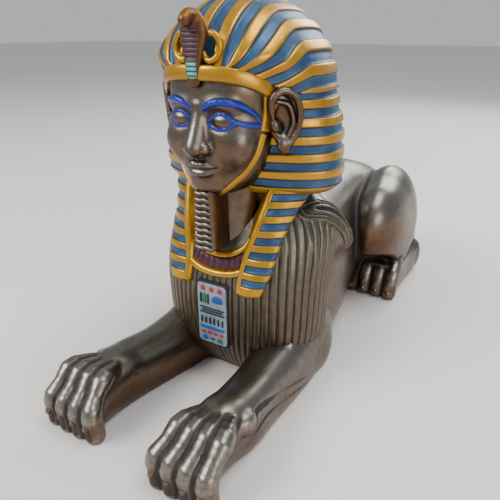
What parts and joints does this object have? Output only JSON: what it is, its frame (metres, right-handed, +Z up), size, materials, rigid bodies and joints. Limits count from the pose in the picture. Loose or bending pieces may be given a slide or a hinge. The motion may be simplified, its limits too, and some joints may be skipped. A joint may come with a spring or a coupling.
{
  "type": "sphinx statue",
  "caption": "Lying sphinx figurine, cast in one piece: lion body, striped headcloth, false beard, brow cobra and a chest plaque of plain strokes.",
  "frame": {"origin": "centre of the footprint, on the surface that the figure stands on", "axes": "+Z up; the figure faces -Y; +X towards the figure's left side"},
  "size_m": [0.1248, 0.2898, 0.1883],
  "materials": {
    "bronze": "dark antique bronze with worn bright edges, and painted blue and gold cloth bands"
  },
  "bodies": {
    "root": {"sphinx_figure": "bronze"}
  },
  "joints": []
}
